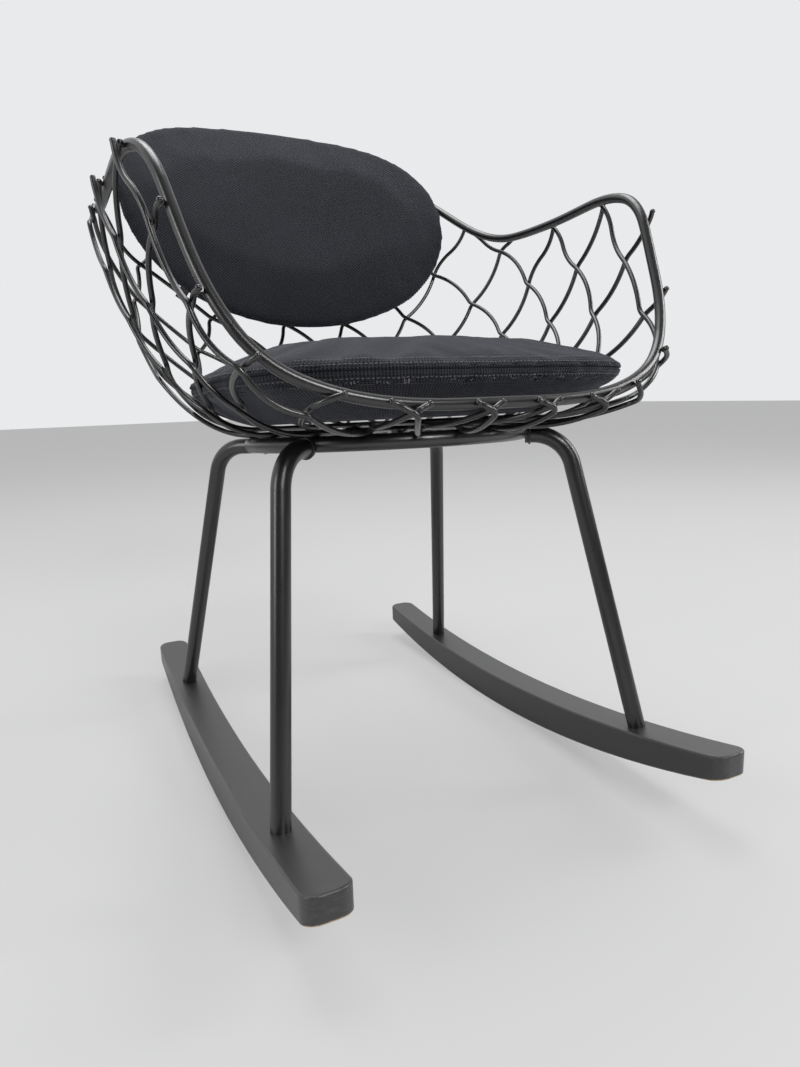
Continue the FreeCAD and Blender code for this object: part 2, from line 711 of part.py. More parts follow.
def seat_profile(skin):
    """Half section of the seat cushion: flat foot, rounded flank, stitched seam, shoulder and crown."""
    seam = size("seat_seam_height")
    notch = size("seat_seam_depth")
    foot = Vector(size("seat_foot_radius") - skin, 0, skin)
    flank = Vector(size("seat_flank_radius") - skin * 0.7, 0, size("seat_flank_height") + skin * 0.7)
    low_lip = Vector(size("seat_radius") - skin, 0, seam - notch)
    pit = Vector(size("seat_radius") - skin - notch, 0, seam)
    high_lip = Vector(size("seat_radius") - skin, 0, seam + notch)
    shoulder = Vector(size("seat_shoulder_radius") - skin, 0, size("seat_shoulder_height") - skin * 0.9)
    top = Vector(0, 0, size("seat_thickness") - skin)
    turn_in = (high_lip + shoulder) * 0.5 + Vector(2.5, 0, 2.5)
    drop = top.z - shoulder.z
    dome = (shoulder.x ** 2 + drop ** 2) / (2 * drop)
    half_angle = math.asin(shoulder.x / dome) / 2
    rise = top + Vector(dome * math.sin(half_angle), 0, -dome * (1 - math.cos(half_angle)))
    return Part.Wire([edge.toShape() for edge in (
        Part.LineSegment(Vector(0, 0, skin), foot), circle_arc(foot, flank, low_lip),
        Part.LineSegment(low_lip, pit), Part.LineSegment(pit, high_lip),
        circle_arc(high_lip, turn_in, shoulder), circle_arc(shoulder, rise, top),
        Part.LineSegment(top, Vector(0, 0, skin)))])


def turned(name, skin):
    section = shape_object(name + "_section", Part.Face(seat_profile(skin)))
    solid = doc.addObject("Part::Revolution", name)
    solid.Source = section
    solid.Axis = Vector(0, 0, 1)
    solid.Base = Vector()
    solid.Angle = 360
    solid.Solid = True
    solid.Placement = seat_frame
    return solid


seat_outside = turned("seat_outside", 0.0)
seat_inside = turned("seat_inside", size("seat_skin"))
register(cut("seat_cover_shell", seat_outside, seat_inside), "seat_cover")
register(turned("seat_core", size("seat_skin")), "seat_foam")


# Back cushion: an oval cut from a bowed slab, its ends bowed forward

def oval(skin):
    """Oval of four tangent arcs in the local XY plane."""
    wide = size("back_half_width") - skin
    high = size("back_half_height") - skin
    end = size("back_end_radius") - skin
    offset = wide - end
    long = (high ** 2 + offset ** 2 - end ** 2) / (2 * (high - end))
    slope = math.atan2(long - high, offset)
    arcs = []
    for centre, radius, start, stop in (
            (Vector(offset, 0, 0), end, -slope, slope),
            (Vector(0, high - long, 0), long, slope, math.pi - slope),
            (Vector(-offset, 0, 0), end, math.pi - slope, math.pi + slope),
            (Vector(0, long - high, 0), long, math.pi + slope, 2 * math.pi - slope)):
        arcs.append(Part.ArcOfCircle(Part.Circle(centre, Vector(0, 0, 1), radius), start, stop))
    return Part.Wire([arc.toShape() for arc in arcs])


back_frame = Placement(
    Vector(0, size("back_y"), size("back_z")),
    Rotation(Vector(1, 0, 0), Vector(0, math.sin(math.radians(size("back_recline"))),
                                     math.cos(math.radians(size("back_recline")))), Vector(), "XYZ"))


def cushion_slab(skin):
    """The back cushion as one solid: between a bowed back face and a flatter, crowned front face."""
    depth = size("back_half_width")
    half = size("back_thickness") / 2 - skin
    block = Part.Face(oval(skin)).extrude(Vector(0, 0, 2 * depth))
    block.translate(Vector(0, 0, -depth))
    along = Vector(0, 1, 0)
    start = Vector(0, -size("back_half_width") * 2, 0)
    back_radius = size("back_bow_radius") + half
    back_side = Part.makeCylinder(
        back_radius, 4 * depth, start + Vector(0, 0, size("back_bow_radius")), along)
    front_radius = size("back_crown_radius") + skin
    front_side = Part.makeCylinder(
        front_radius, 4 * depth, start + Vector(0, 0, half + front_radius), along)
    slab = block.common(back_side).cut(front_side)
    return slab.makeFillet(size("back_edge_round") - skin, slab.Edges)


def placed(name, shape):
    feature = shape_object(name, shape)
    feature.Placement = back_frame
    return feature


back_outside = placed("back_outside", cushion_slab(0.0))
back_inside = placed("back_inside", cushion_slab(size("back_skin")))
register(cut("back_cover_shell", back_outside, back_inside), "back_cover")
register(placed("back_core", cushion_slab(size("back_skin"))), "back_foam")

doc.recompute()

# Ties that hold the back cushion to inner wires

def tie_loop(number, row):
    """A flat loop round a wire, reaching forward into the back of the cushion."""
    azimuth = wire_azimuth(number, row, False)
    middle = wall_point(azimuth, row, node_offset(azimuth, round(row), False))
    beyond_azimuth = wire_azimuth(number, row + 0.05, False)
    beyond = wall_point(beyond_azimuth, row + 0.05, node_offset(beyond_azimuth, round(row), False))
    along = (beyond - middle).normalize()
    near = back_outside.Shape.distToShape(Part.Vertex(middle))[1][0][0]
    forward = (near - middle)
    forward = (forward - along * forward.dot(along))
    gap = forward.Length
    forward.normalize()
    inner = size("wire_bar") / 2 + size("tie_slack")
    outer = inner + size("tie_thickness")
    loops = []
    for radius in (outer, inner):
        eye = Part.makeCylinder(radius, size("tie_width"), Vector(), Vector(0, 0, 1))
        reach = Part.makeBox(gap + outer, 2 * radius, size("tie_width"), Vector(0, -radius, 0))
        loops.append(eye.fuse(reach))
    loop = loops[0].cut(loops[1])
    frame = Placement(middle - along * (size("tie_width") / 2),
                      Rotation(forward, along.cross(forward), along, "ZXY"))
    loop.Placement = frame
    return loop


def nearest_wire(azimuth, row):
    """Number of the inner wire that passes closest to an azimuth at a row."""
    def miss(number):
        return abs((wire_azimuth(number, row, False) - azimuth + 180) % 360 - 180)
    return min(range(int(size("wire_count"))), key=miss)


ties = []
for row in (size("tie_low_row"), size("tie_high_row")):
    for side in (-1, 1):
        number = nearest_wire(180 + side * size("tie_side_azimuth"), row)
        loop = shape_object("tie_loop_%d" % len(ties), tie_loop(number, row))
        ties.append(cut("tie_%d" % len(ties), loop, back_outside))
register(collected("all_ties", ties), "back_cushion_ties")

doc.recompute()

for feature in doc.Objects:
    state = [word for word in feature.State if word in ("Invalid", "Error")]
    if state:
        raise RuntimeError("%s: %s" % (feature.Label, state))
for feature in nodes:
    shape = feature.Shape
    if shape.isNull() or not shape.isValid() or shape.Volume < 1:
        raise RuntimeError("bad shape: " + feature.Label)
    shape.exportStep("parts/%s.step" % feature.Label)
    print("%-22s solids %2d volume %10.0f" % (feature.Label, len(shape.Solids), shape.Volume))
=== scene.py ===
"""Rocking chair with a wire basket: looks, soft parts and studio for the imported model."""
import math

import bmesh
import bpy
from mathutils import Matrix, Vector
from mathutils.bvhtree import BVHTree


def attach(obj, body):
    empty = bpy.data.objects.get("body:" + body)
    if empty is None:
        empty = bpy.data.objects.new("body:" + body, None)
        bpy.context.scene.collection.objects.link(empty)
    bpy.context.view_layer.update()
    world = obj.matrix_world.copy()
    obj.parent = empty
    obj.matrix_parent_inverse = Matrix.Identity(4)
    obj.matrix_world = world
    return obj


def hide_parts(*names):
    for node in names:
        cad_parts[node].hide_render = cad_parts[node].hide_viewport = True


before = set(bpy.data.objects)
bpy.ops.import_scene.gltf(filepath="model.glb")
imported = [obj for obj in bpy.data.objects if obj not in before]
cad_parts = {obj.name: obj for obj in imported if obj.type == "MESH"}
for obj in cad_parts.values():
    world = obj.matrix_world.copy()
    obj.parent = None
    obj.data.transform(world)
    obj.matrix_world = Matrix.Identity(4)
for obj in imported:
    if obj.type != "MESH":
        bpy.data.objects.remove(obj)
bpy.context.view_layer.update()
MM = 0.001
chair_scene = bpy.context.scene


# Node trees: values that can be written as sums

class Field:
    """One output socket, with the arithmetic that the finishes use."""

    def __init__(self, bench, socket):
        self.bench = bench
        self.socket = socket

    def __add__(self, other):
        return self.bench.math("ADD", self, other)

    def __sub__(self, other):
        return self.bench.math("SUBTRACT", self, other)

    def __rsub__(self, other):
        return self.bench.math("SUBTRACT", other, self)

    def __mul__(self, other):
        return self.bench.math("MULTIPLY", self, other)

    def __pow__(self, other):
        return self.bench.math("POWER", self, other)

    def __abs__(self):
        return self.bench.math("ABSOLUTE", self)

    __radd__ = __add__
    __rmul__ = __mul__


class Bench:
    """A node tree and the few ways nodes are added to it."""

    def __init__(self, tree):
        self.tree = tree

    def node(self, kind, settings=None, **sockets):
        """A node: its settings first, then its sockets, by name or, as s0, by place."""
        made = self.tree.nodes.new(kind)
        for key, value in (settings or {}).items():
            setattr(made, key, value)
        for key, value in sockets.items():
            place = int(key[1:]) if key[1:].isdigit() else key.replace("_", " ")
            socket = made.inputs[place]
            if isinstance(value, Field):
                self.tree.links.new(value.socket, socket)
            else:
                socket.default_value = value
        return made

    def out(self, kind, settings=None, port=0, **sockets):
        return Field(self, self.node(kind, settings, **sockets).outputs[port])

    def math(self, operation, *values):
        sockets = {"s%d" % place: value for place, value in enumerate(values)}
        return self.out("ShaderNodeMath", {"operation": operation}, **sockets)


def grey(shade):
    return (shade, shade, shade, 1.0)


class Finish(Bench):
    """One material: a node tree that ends in a Principled shader."""

    def __init__(self, name, **constants):
        self.material = bpy.data.materials.new(name)
        self.material.use_nodes = True
        super().__init__(self.material.node_tree)
        self.tree.nodes.clear()
        self.shader = self.node("ShaderNodeBsdfPrincipled", None, **constants)
        self.end = self.node("ShaderNodeOutputMaterial")
        self.tree.links.new(self.shader.outputs[0], self.end.inputs[0])

    def feed(self, **sockets):
        for key, value in sockets.items():
            self.tree.links.new(value.socket, self.shader.inputs[key.replace("_", " ")])

    def here(self):
        return self.out("ShaderNodeTexCoord", port="Object")

    def flat(self, layer):
        return self.out("ShaderNodeUVMap", {"uv_map": layer})

    def parts(self, vector):
        split = self.node("ShaderNodeSeparateXYZ", None, Vector=vector)
        return [Field(self, split.outputs[axis]) for axis in range(3)]

    def stretched(self, vector, scale):
        return self.out("ShaderNodeMapping", None, Vector=vector, Scale=scale)

    def noise(self, vector, scale, detail=2.0, roughness=0.5):
        return self.out("ShaderNodeTexNoise", None, Vector=vector, Scale=scale, Detail=detail,
                        Roughness=roughness)

    def waves(self, place, pitch, shift=0.0):
        """Even waves, one for each pitch in metres, moved along by the shift."""
        return self.math("SINE", place * (2 * math.pi / pitch) + shift)

    def between(self, value, low, high, low_out=0.0, high_out=1.0):
        """A smooth change from low_out to high_out while the value goes from low to high."""
        return self.out("ShaderNodeMapRange", {"interpolation_type": "SMOOTHSTEP"}, Value=value,
                        From_Min=low, From_Max=high, To_Min=low_out, To_Max=high_out)

    def tint(self, share, first, second):
        return self.out("ShaderNodeMix", {"data_type": "RGBA"}, port=2, s0=share, s6=first,
                        s7=second)

    def bump(self, height, distance, strength=1.0):
        return self.out("ShaderNodeBump", None, Height=height, Distance=distance,
                        Strength=strength)


# Finishes

def powder_coat(name, shade, roughness, grain):
    """Satin black coat on steel: fine orange peel, a little dust and rubbed patches."""
    coat = Finish(name, Specular_IOR_Level=0.85, IOR=1.5)
    here = coat.here()
    dust = coat.noise(here, 14.0, 3.0)
    peel = coat.noise(here, grain, 2.0, 0.6)
    rubbed = coat.between(coat.noise(here, 55.0, 4.0, 0.7), 0.55, 0.75)
    dark = (shade * 0.8, shade * 0.8, shade * 0.84, 1.0)
    worn = (shade * 1.7, shade * 1.7, shade * 1.75, 1.0)
    coat.feed(Base_Color=coat.tint(dust * 0.7 + rubbed * 0.3, dark, worn),
              Roughness=dust * 0.08 + rubbed * -0.07 + (roughness - 0.02),
              Normal=coat.bump(peel, 0.00012, 0.35))
    return coat.material


def ground_weld(name):
    """The same coat over a weld bead: heaped ripples show through."""
    weld = Finish(name, Specular_IOR_Level=0.5)
    here = weld.here()
    scales = weld.out("ShaderNodeTexVoronoi", {"feature": "SMOOTH_F1"}, Vector=here, Scale=520.0,
                      Smoothness=0.6)
    fine = weld.noise(here, 900.0, 2.0)
    # Painted highlight on the heaped ripples and painted shade between them, following the same
    # ripples that the bump raises.
    weld.feed(Base_Color=weld.tint(scales, grey(0.014), grey(0.028)),
              Roughness=fine * 0.15 + 0.28,
              Normal=weld.bump(scales + fine * 0.3, 0.0006, 0.8))
    return weld.material


# The rockers as the CAD has them, in metres: two arcs, each by its radius and its lowest y
FLOOR_RADIUS, FLOOR_LOW = 1.340, 0.040
TOP_RADIUS, TOP_LOW = 1.943, 0.071
ROCKER_HIGH, ROCKER_HALF_WIDE, ROCKER_OUT = 0.0375, 0.020, 0.196
EDGE_WEAR = (0.0012, 0.0040)
BARE_LINE = (0.0016, 0.0026)
FRONT_TIP = (-0.352, -0.362)
END_GRAIN = (-0.355, -0.366)


def stained_wood(name, side):
    """Black stain on a rocker: faint grain, paler worn edges, bare wood under the front tip."""
    wood = Finish(name, Specular_IOR_Level=0.6, Coat_Weight=0.55, Coat_Roughness=0.34)
    here = wood.here()
    x, y, z = wood.parts(here)
    grain = wood.noise(wood.stretched(here, (1.0, 0.035, 0.8)), 330.0, 5.0, 0.65)
    pores = wood.noise(wood.stretched(here, (1.0, 0.02, 1.0)), 1500.0, 2.0)
    broad = wood.noise(wood.stretched(here, (1.0, 0.2, 1.0)), 26.0, 3.0)
    across = wood.noise(wood.stretched(here, (0.25, 1.0, 1.0)), 420.0, 3.0)
    ragged = wood.noise(here, 210.0, 3.0) * 0.0016

    flank = ROCKER_HALF_WIDE - abs(x - side * ROCKER_OUT)
    floor_arc = FLOOR_RADIUS - wood.math("SQRT", FLOOR_RADIUS ** 2 - (y - FLOOR_LOW) ** 2)
    top_arc = ROCKER_HIGH + TOP_RADIUS - wood.math("SQRT", TOP_RADIUS ** 2 - (y - TOP_LOW) ** 2)
    above_floor = abs(z - floor_arc)
    from_top_or_floor = wood.math("MINIMUM", above_floor, abs(top_arc - z))

    worn = wood.between(flank + from_top_or_floor + ragged, *EDGE_WEAR, 1.0, 0.0)
    worn = worn * wood.between(broad, 0.35, 0.65)
    bare = wood.between(above_floor + ragged, *BARE_LINE, 1.0, 0.0) * wood.between(y, *FRONT_TIP)
    stripes = wood.between(across, 0.45, 0.72) * wood.between(y, *END_GRAIN) * 0.55

    deep_black, brown_black = (0.0060, 0.0058, 0.0060, 1.0), (0.026, 0.025, 0.025, 1.0)
    rubbed_grey, bare_wood = (0.085, 0.082, 0.082, 1.0), (0.55, 0.40, 0.22, 1.0)
    stain = wood.tint(grain * 0.75 + broad * 0.25, deep_black, brown_black)
    stain = wood.tint(worn * 0.55 + stripes * 0.5, stain, rubbed_grey)
    wood.feed(Base_Color=wood.tint(bare, stain, bare_wood),
              Roughness=grain * 0.16 + broad * 0.08 + worn * -0.08 + 0.36,
              Normal=wood.bump(grain * 0.6 + pores * 0.5, 0.00025, 0.5))
    return wood.material


# Pitches of the weaves, in metres
TWILL_CORD, TWILL_FLOAT = 0.0027, 0.0024
KNIT_RIB, KNIT_LOOP = 0.0026, 0.0024
WEBBING_WARP, WEBBING_WEFT = 0.0012, 0.0011


def twill_cloth(name):
    """Black wool twill: diagonal cords broken into short floats, with flecks of lighter fibre."""
    cloth = Finish(name, Specular_IOR_Level=0.15, Sheen_Weight=0.13, Sheen_Roughness=0.42,
                   Sheen_Tint=(0.83, 0.87, 1.0, 1.0))
    weave = cloth.flat("weave")
    across, up, _ = cloth.parts(weave)
    sway = cloth.noise(weave, 70.0, 2.0)
    cord = cloth.waves(across * 0.64 - up * 0.77, TWILL_CORD, sway * 2.2)
    floats = cloth.waves(across * 0.80 + up * 0.60, TWILL_FLOAT, sway * 1.5)
    ridge = cord * 0.32 + floats * 0.20 + 0.5
    fibre = cloth.noise(weave, 2600.0, 2.0)
    fleck = cloth.between(cloth.noise(weave, 1300.0, 3.0), 0.58, 0.74)
    patch = cloth.noise(weave, 9.0, 3.0)
    # Painted highlight on the cords' ridges and painted shade in the grooves between them, mixed
    # with the real lighter flecks and patches of the fibre.
    ridge_light_and_tone = ridge * 0.75 + fleck * 0.35 + patch * 0.35 + -0.18
    cloth.feed(Base_Color=cloth.tint(ridge_light_and_tone, (0.0050, 0.0053, 0.0066, 1.0),
                                     (0.040, 0.042, 0.051, 1.0)),
               Roughness=0.95 - ridge * 0.12,
               Normal=cloth.bump(ridge + fibre * 0.35, 0.0006, 0.75))
    return cloth.material


def ribbed_knit(name):
    """Black knit of the seat: close ribs from front to back, each a row of loops."""
    knit = Finish(name, Specular_IOR_Level=0.18, Sheen_Weight=0.20, Sheen_Roughness=0.36,
                  Sheen_Tint=(0.86, 0.88, 1.0, 1.0))
    weave = knit.flat("weave")
    across, along, _ = knit.parts(weave)
    sway = knit.noise(weave, 45.0, 2.0)
    rib = knit.waves(across, KNIT_RIB, sway * 1.6)
    loops = knit.waves(along, KNIT_LOOP, rib * 1.4 + sway * 2.0)
    ridge = rib * 0.30 + loops * 0.24 + 0.5
    fibre = knit.noise(weave, 2300.0, 2.0)
    patch = knit.noise(weave, 11.0, 3.0)
    # Painted highlight on the ribs and loops and painted shade between them, mixed with the real
    # patches and fibre tone.
    ridge_light_and_tone = ridge * 0.85 + patch * 0.3 + fibre * 0.2 + -0.25
    knit.feed(Base_Color=knit.tint(ridge_light_and_tone, (0.0042, 0.0045, 0.0058, 1.0),
                                   (0.046, 0.048, 0.058, 1.0)),
              Roughness=0.93 - ridge * 0.12,
              Normal=knit.bump(ridge + fibre * 0.3, 0.0007, 0.8))
    return knit.material


def sewing_thread(name):
    """Waxed black thread: a twist of plies, painted lighter where it catches the light."""
    thread = Finish(name, Specular_IOR_Level=0.5, Sheen_Weight=0.3, Sheen_Roughness=0.4)
    here = thread.here()
    plies = thread.noise(here, 1900.0, 2.0)
    # The lighter plies are painted highlight; the same noise also bumps the twist and varies its
    # roughness.
    thread.feed(Base_Color=thread.tint(plies, grey(0.030), (0.115, 0.118, 0.130, 1.0)),
                Roughness=plies * 0.2 + 0.42,
                Normal=thread.bump(plies, 0.0003, 0.6))
    return thread.material


def strap_webbing(name):
    """Narrow black webbing of the ties, woven in tiny steps."""
    strap = Finish(name, Specular_IOR_Level=0.3, Sheen_Weight=0.2)
    x, y, z = strap.parts(strap.here())
    cells = strap.waves(z, WEBBING_WEFT) * strap.waves(x + y, WEBBING_WARP) * 0.5 + 0.5
    # The raised cells of the weave are painted lighter and the dips between them darker: painted
    # highlight and shade.
    strap.feed(Base_Color=strap.tint(cells, grey(0.012), grey(0.050)),
               Roughness=0.85 - cells * 0.15,
               Normal=strap.bump(cells, 0.0004, 0.7))
    return strap.material


def zinc_steel(name):
    """Threaded plugs and bolts: dull zinc with turning marks."""
    zinc = Finish(name)
    here = zinc.here()
    turned = zinc.noise(zinc.stretched(here, (1.0, 1.0, 9.0)), 260.0, 3.0)
    spots = zinc.between(zinc.noise(here, 90.0, 4.0), 0.5, 0.8)
    zinc.feed(Base_Color=zinc.tint(spots, (0.46, 0.46, 0.45, 1.0), (0.30, 0.30, 0.31, 1.0)),
              Metallic=0.95 - spots * 0.25,
              Roughness=turned * 0.2 + spots * 0.2 + 0.22,
              Normal=zinc.bump(turned, 0.0002, 0.4))
    return zinc.material


tube_coat = powder_coat("satin_tube_coat", 0.0060, 0.29, 1500.0)
wire_coat = powder_coat("satin_wire_coat", 0.0060, 0.27, 2100.0)
tip_coat = powder_coat("gloss_tip_coat", 0.0100, 0.14, 1800.0)
weld_coat = ground_weld("coated_weld")
twill = twill_cloth("black_twill")
knit = ribbed_knit("black_rib_knit")
thread = sewing_thread("black_thread")
webbing = strap_webbing("black_webbing")
zinc = zinc_steel("zinc_plated_steel")

for node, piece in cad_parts.items():
    if "wire" in node:
        finish = wire_coat
    elif node.startswith("rocker_") and node != "rocker_bolts":
        finish = stained_wood("black_stained_" + node, 1.0 if node.endswith("left") else -1.0)
    elif node in ("rocker_bolts", "leg_plugs"):
        finish = zinc
    elif node == "leg_weld_beads":
        finish = weld_coat
    else:
        finish = tube_coat
    piece.data.materials.clear()
    piece.data.materials.append(finish)


# Small makers

def linked(name, data):
    piece = bpy.data.objects.new(name, data)
    chair_scene.collection.objects.link(piece)
    return piece


def solid_of(node):
    """A joined-up copy of a node's mesh."""
    work = bmesh.new()
    work.from_mesh(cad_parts[node].data)
    bmesh.ops.remove_doubles(work, verts=work.verts, dist=1e-6)
    return work


def baked(piece):
    """The piece with its modifiers turned into a plain mesh."""
    ready = bpy.data.meshes.new_from_object(
        piece.evaluated_get(bpy.context.evaluated_depsgraph_get()))
    piece.modifiers.clear()
    old = piece.data
    piece.data = ready
    if isinstance(old, bpy.types.Mesh):
        bpy.data.meshes.remove(old)
    return piece


def skin_piece(name, rings, layout, finish):
    """A closed skin through rings of points, a pole at each end, laid out flat for its weave."""
    count = len(rings[1])
    points = [rings[0][0]]
    for ring in rings[1:-1]:
        points += ring
    points.append(rings[-1][0])
    faces = []
    for turn in range(count):
        after = (turn + 1) % count
        faces.append((0, 1 + after, 1 + turn))
        for row in range(len(rings) - 3):
            low, high = 1 + row * count, 1 + (row + 1) * count
            faces.append((low + turn, low + after, high + after, high + turn))
        last = 1 + (len(rings) - 3) * count
        faces.append((last + turn, last + after, len(points) - 1))
    mesh = bpy.data.meshes.new(name)
    mesh.from_pydata(points, [], faces)
    mesh.polygons.foreach_set("use_smooth", [True] * len(faces))
    sheet = mesh.uv_layers.new(name="weave")
    for corner in mesh.loops:
        sheet.data[corner.index].uv = layout[corner.vertex_index]
    mesh.materials.append(finish)
    return linked(name, mesh)


EVEN_MESH = 0.006
FILLING_FRAMES = 20


def swollen(name, rings, held, pressure, cap, slack, smoothing):
    """Blows a closed form up as cloth, sewn down where held says so, for other points to lie on."""
    layout = [(0.0, 0.0)] * (2 + (len(rings) - 2) * len(rings[1]))
    blank = skin_piece(name + "_blank", rings, layout, twill)
    remesh = blank.modifiers.new("even_mesh", "REMESH")
    remesh.mode = "VOXEL"
    remesh.voxel_size = EVEN_MESH
    baked(blank)
    start = [vertex.co.copy() for vertex in blank.data.vertices]
    sewn = blank.vertex_groups.new(name="sewn")
    for vertex in blank.data.vertices:
        grip = held(vertex.co)
        if grip > 0.01:
            sewn.add([vertex.index], grip, "REPLACE")
    cloth = blank.modifiers.new("filling", "CLOTH")
    cloth.settings.quality = 6
    cloth.settings.mass = 0.3
    cloth.settings.tension_stiffness = 18.0
    cloth.settings.compression_stiffness = 18.0
    cloth.settings.bending_stiffness = 1.2
    cloth.settings.use_pressure = True
    cloth.settings.uniform_pressure_force = pressure
    cloth.settings.shrink_min = -slack
    cloth.settings.effector_weights.gravity = 0.0
    cloth.settings.vertex_group_mass = "sewn"
    cloth.settings.pin_stiffness = 1.0
    cloth.collision_settings.use_collision = False
    cloth.point_cache.frame_start = 1
    cloth.point_cache.frame_end = FILLING_FRAMES
    for step in range(1, FILLING_FRAMES + 1):
        chair_scene.frame_set(step)
    baked(blank)
    chair_scene.frame_set(1)
    for vertex, before in zip(blank.data.vertices, start):
        moved = vertex.co - before
        if moved.length > cap:
            vertex.co = before + moved * (cap / moved.length)
    smoother = blank.modifiers.new("soft", "SMOOTH")
    smoother.factor = 0.5
    smoother.iterations = smoothing
    baked(blank)
    surface = BVHTree.FromObject(blank, bpy.context.evaluated_depsgraph_get())
    used = blank.data
    bpy.data.objects.remove(blank)
    bpy.data.meshes.remove(used)
    return surface


def draped_onto(surface, point, outward, reach=0.03):
    """Moves a point of the plain form along its outward way onto the swollen surface."""
    hit = surface.ray_cast(point + outward * reach, -outward, reach * 2)
    return hit[0] if hit[0] is not None else point


# Seat cushion, in millimetres: a round pad with a top panel sewn to a deep side panel

seat_place = Matrix.Translation(Vector((0.0, -69.231, 392.375)) * MM) @ Matrix.Rotation(
    math.radians(-2.3), 4, "X")
SEAM_LEVEL, SEAM_RADIUS = 38.0, 205.5
SEAM_CLIMB, SEAT_HIGH = 9.0, 64.0
FRONT_SQUARE, FRONT_WIDE = 1.9, 0.045
ROUND_WITHIN, FULL_FROM = 110.0, 205.0

# A coarse skin is swollen as cloth; a fine one is laid on it. Steps along the section, and turns
COARSE_STEP, COARSE_TURNS = 8.0, 150
FINE_STEP, SKIN_TURNS = 3.2, 420
SEAM_STEP, SEAM_REACH, SEAM_ROWS = 1.4, 14.0, 5


def bend_line(corners, step):
    """Points every step along a smooth line through a few (radius, height) corners."""
    line = []
    for place in range(len(corners) - 1):
        before = corners[max(place - 1, 0)]
        first, second = corners[place], corners[place + 1]
        after = corners[min(place + 2, len(corners) - 1)]
        parts = max(1, round(math.dist(first, second) / step))
        for part in range(parts):
            t = part / parts
            line.append(tuple(
                0.5 * (2 * b + (c - a) * t + (2 * a - 5 * b + 4 * c - d) * t * t
                       + (3 * b - a - 3 * c + d) * t ** 3)
                for a, b, c, d in zip(before, first, second, after)))
    line.append(corners[-1])
    return line


def seat_section(step):
    """The pad's section from its middle out to the seam underneath, and back in over the top."""
    under = bend_line([(0.0, 1.6), (80.0, 1.0), (140.0, 1.2), (160.0, 5.5), (180.0, 16.5),
                       (197.0, 28.5), (SEAM_RADIUS, SEAM_LEVEL)], step)
    over = bend_line([(SEAM_RADIUS, SEAM_LEVEL), (202.5, 47.0), (192.0, 54.5), (168.0, 58.5),
                      (120.0, 60.5), (60.0, 61.5), (0.0, 61.5)], step)
    return under, over


def eased(share):
    """0 to 1 for a share of 0 to 1, with a gentle start and end."""
    share = min(1.0, max(0.0, share))
    return share * share * (3 - 2 * share)


def fullness(angle, radius):
    """How far the pad reaches beyond a circle: round behind, squarer at its front corners."""
    front = eased((-math.sin(angle) + 0.35) / 1.35)
    power = 2.0 + FRONT_SQUARE * front
    wide = 1.0 + FRONT_WIDE * front
    across, deep = abs(math.cos(angle)) / wide, abs(math.sin(angle))
    reach = (across ** power + deep ** power) ** (-1 / power)
    return 1.0 + (reach - 1.0) * eased((radius - ROUND_WITHIN) / (FULL_FROM - ROUND_WITHIN))


def seam_rise(angle, height):
    """The seam climbs at the rear, where the wires lean in under it."""
    rear = max(0.0, math.sin(angle))
    up = min(1.0, max(0.0, height / SEAT_HIGH))
    return height + SEAM_CLIMB * rear * rear * math.sin(math.pi * up)


def seat_ring(radius, height, turns):
    ring = []
    for turn in range(turns):
        angle = 2 * math.pi * turn / turns
        out = radius * fullness(angle, radius)
        level = seam_rise(angle, height)
        local = Vector((out * math.cos(angle), out * math.sin(angle), level)) * MM
        ring.append(seat_place @ local)
    return ring


def seat_rings(under, over, turns):
    section = under + over[1:]
    rings = [[seat_place @ (Vector((0, 0, section[0][1])) * MM)]]
    rings += [seat_ring(radius, height, turns) for radius, height in section[1:-1]]
    rings.append([seat_place @ (Vector((0, 0, section[-1][1])) * MM)])
    return rings


def seat_grip(point):
    """How firmly the seat cushion's cloth is held: at its seam and where it lies on the wires."""
    seam_band, side_from, lies_to, hugs_to = 5.0, 188.0, 12.0, 22.0
    local = seat_place.inverted() @ point
    radius = math.hypot(local.x, local.y) / MM
    angle = math.atan2(local.y, local.x)
    radius /= fullness(angle, radius)
    height = local.z / MM
    if abs(height - seam_rise(angle, SEAM_LEVEL)) < seam_band and radius > side_from:
        return 1.0
    if height < hugs_to:
        return 1.0 if height < lies_to else 0.6
    return 0.0


def sewn_section():
    """The section with close rows at the seam; it leans in from there, and more so below."""
    lean, lean_below, upright = 0.09, 0.42, 0.9
    under, over = seat_section(FINE_STEP)
    offsets = [along for along, _ in bend_line([(-SEAM_REACH, 0), (SEAM_REACH, 0)], SEAM_STEP)]
    seam = [(SEAM_RADIUS - abs(along) * lean - max(0.0, -along) * lean_below,
             SEAM_LEVEL + along * upright) for along in offsets]
    return under[:-SEAM_ROWS] + seam + over[SEAM_ROWS:]


def section_way(section, row, round_way):
    """Outwards from the plain pad: square to its section, and straight at its poles."""
    if row in (0, len(section) - 1):
        return Vector((0, 0, 1 if row else -1))
    before, after = section[row - 1], section[row + 1]
    tangent = Vector((after[0] - before[0], 0.0, after[1] - before[1])).normalized()
    return round_way * tangent.z + Vector((0, 0, -tangent.x))


